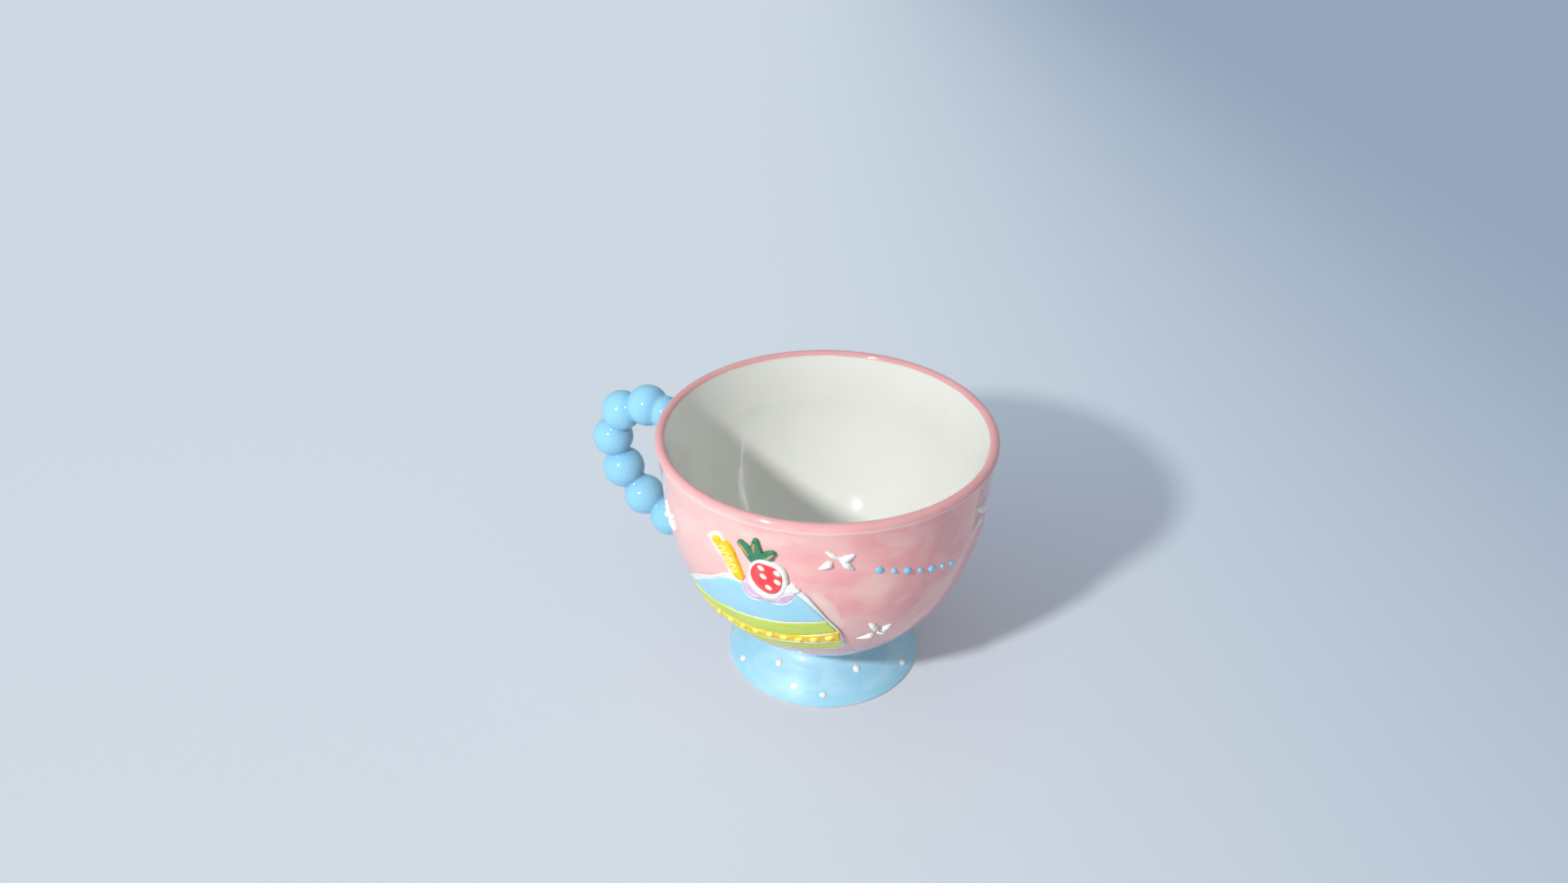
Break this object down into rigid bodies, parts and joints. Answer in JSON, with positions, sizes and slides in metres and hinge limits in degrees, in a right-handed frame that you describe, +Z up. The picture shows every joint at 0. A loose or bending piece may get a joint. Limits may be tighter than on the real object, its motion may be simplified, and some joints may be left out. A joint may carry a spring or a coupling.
{
  "type": "footed ceramic cup",
  "caption": "Wide glazed ceramic cup on a flared foot, with a beaded loop handle and a raised slice of cake and small flowers on its wall.",
  "frame": {"origin": "centre of the flat underside of the foot, on the axis of the bowl, on the surface that the cup stands on", "axes": "+Z up along the bowl's axis, the handle towards -X, the raised slice of cake towards -Y"},
  "size_m": [0.1531, 0.1165, 0.096],
  "materials": {
    "glaze": "gloss"
  },
  "bodies": {
    "root": {"cup": "glaze"}
  },
  "joints": []
}
